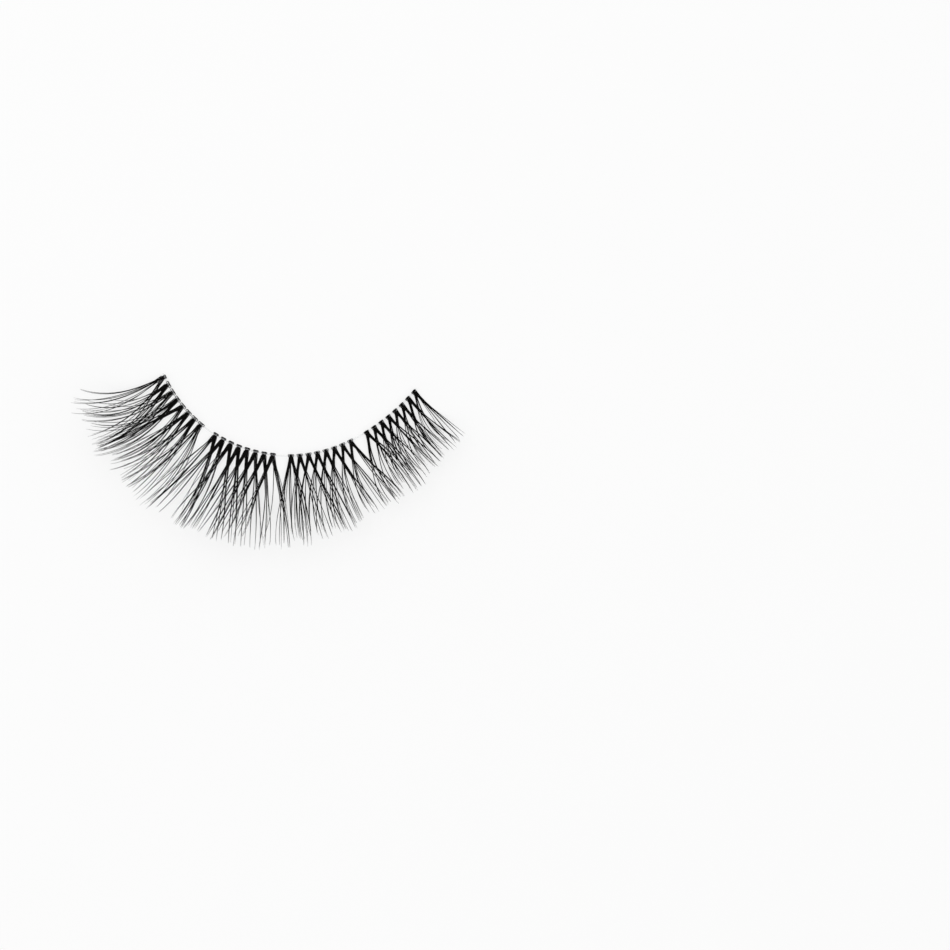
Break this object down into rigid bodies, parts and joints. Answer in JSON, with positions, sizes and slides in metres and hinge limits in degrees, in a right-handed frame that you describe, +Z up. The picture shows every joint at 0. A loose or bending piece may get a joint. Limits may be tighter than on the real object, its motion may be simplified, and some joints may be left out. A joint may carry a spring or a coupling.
{
  "type": "false eyelash strip",
  "caption": "False eyelash strip: knotted clusters of curled black lashes, criss-crossed and set in groups, on a bare clear filament band bent to the eyelid's curve.",
  "frame": {"origin": "on the surface that the strip lies on, under the middle of its outline seen from above", "axes": "+X along the strip from the outer corner of the eye to the inner corner, +Y into the eyelid's curve and away from the lashes, +Z up, the way the lashes curl"},
  "size_m": [0.0422, 0.0196, 0.0059],
  "materials": {
    "lash_fibre": "fine black synthetic lash fibre with a soft silky sheen, tapered to hair-thin tips",
    "clear_filament": "clear drawn nylon filament, smooth and glossy"
  },
  "bodies": {
    "root": {"band": "clear_filament", "lash_cluster_01": "lash_fibre", "lash_cluster_02": "lash_fibre", "lash_cluster_03": "lash_fibre", "lash_cluster_04": "lash_fibre", "lash_cluster_05": "lash_fibre", "lash_cluster_06": "lash_fibre", "lash_cluster_07": "lash_fibre", "lash_cluster_08": "lash_fibre", "lash_cluster_09": "lash_fibre", "lash_cluster_10": "lash_fibre", "lash_cluster_11": "lash_fibre", "lash_cluster_12": "lash_fibre", "lash_cluster_13": "lash_fibre", "lash_cluster_14": "lash_fibre", "lash_cluster_15": "lash_fibre", "lash_cluster_16": "lash_fibre", "lash_cluster_17": "lash_fibre", "lash_cluster_18": "lash_fibre", "lash_cluster_19": "lash_fibre", "lash_cluster_20": "lash_fibre", "lash_cluster_21": "lash_fibre", "lash_cluster_22": "lash_fibre", "lash_cluster_23": "lash_fibre", "lash_cluster_24": "lash_fibre", "lash_cluster_25": "lash_fibre", "lash_cluster_26": "lash_fibre", "lash_cluster_27": "lash_fibre", "lash_cluster_28": "lash_fibre", "lash_cluster_29": "lash_fibre", "lash_cluster_30": "lash_fibre", "lash_cluster_31": "lash_fibre", "lash_cluster_32": "lash_fibre"}
  },
  "joints": []
}
